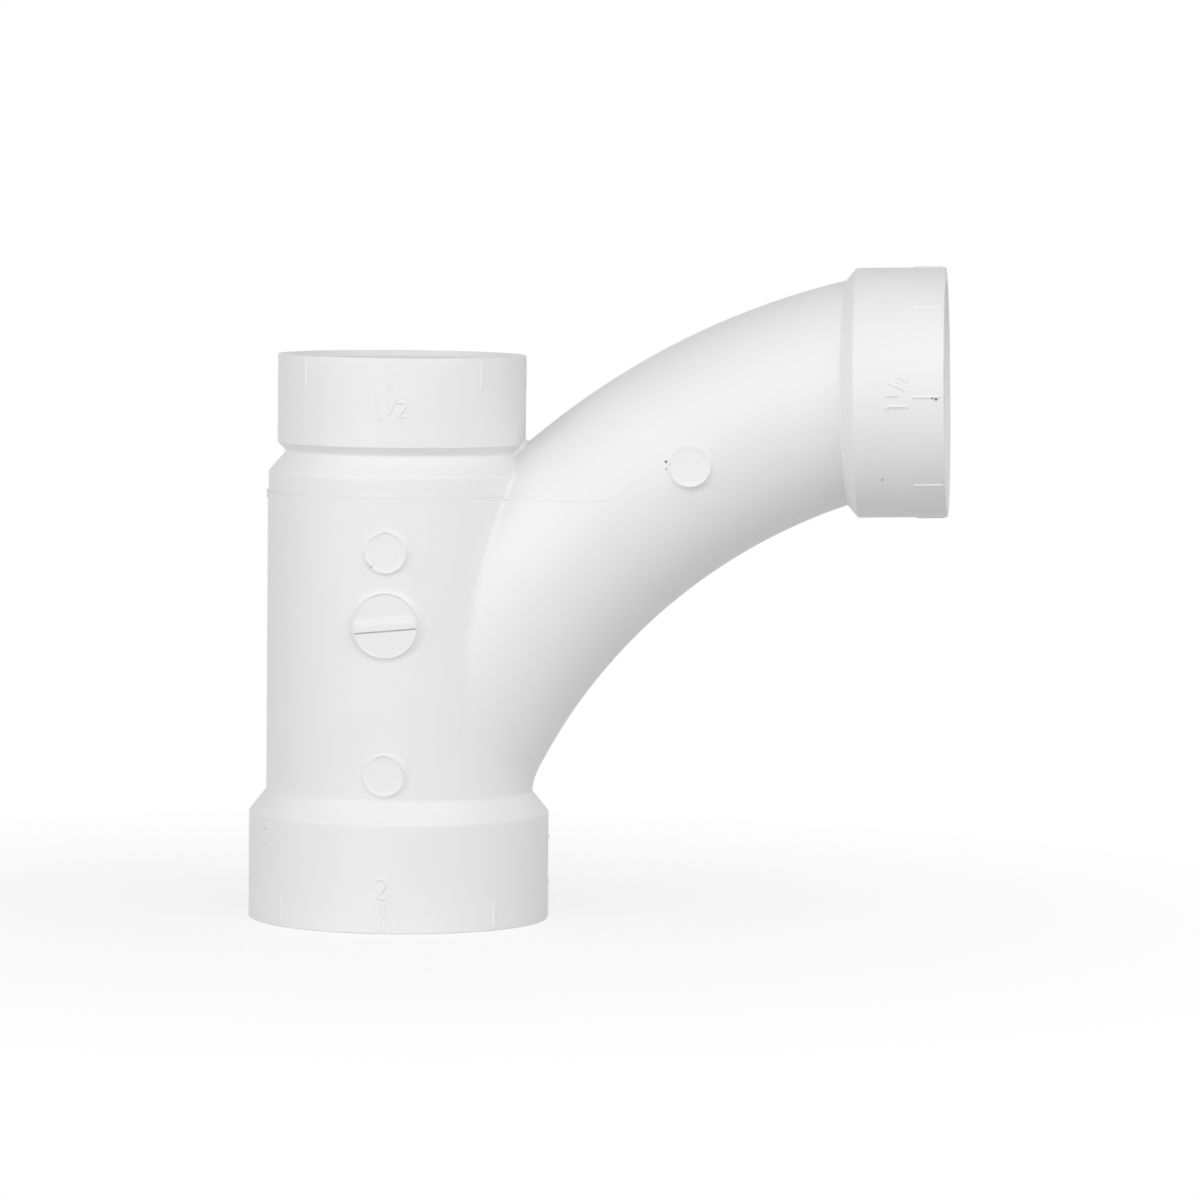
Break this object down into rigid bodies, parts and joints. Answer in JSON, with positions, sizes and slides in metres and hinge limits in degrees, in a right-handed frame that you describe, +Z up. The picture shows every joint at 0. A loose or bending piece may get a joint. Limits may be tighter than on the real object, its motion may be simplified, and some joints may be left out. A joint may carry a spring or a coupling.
{
  "type": "combination tee wye",
  "caption": "White drain pipe fitting: a straight reducing run with a socket at each end and a long swept branch that curves out to a third socket.",
  "frame": {"origin": "centre of the lower mouth, in the plane of its rim", "axes": "+Z up the run from the lower mouth to the upper one, +X towards the branch"},
  "size_m": [0.1587, 0.069, 0.1497],
  "materials": {
    "white_plastic": "satin, as moulded"
  },
  "bodies": {
    "root": {"fitting_body": "white_plastic"}
  },
  "joints": []
}
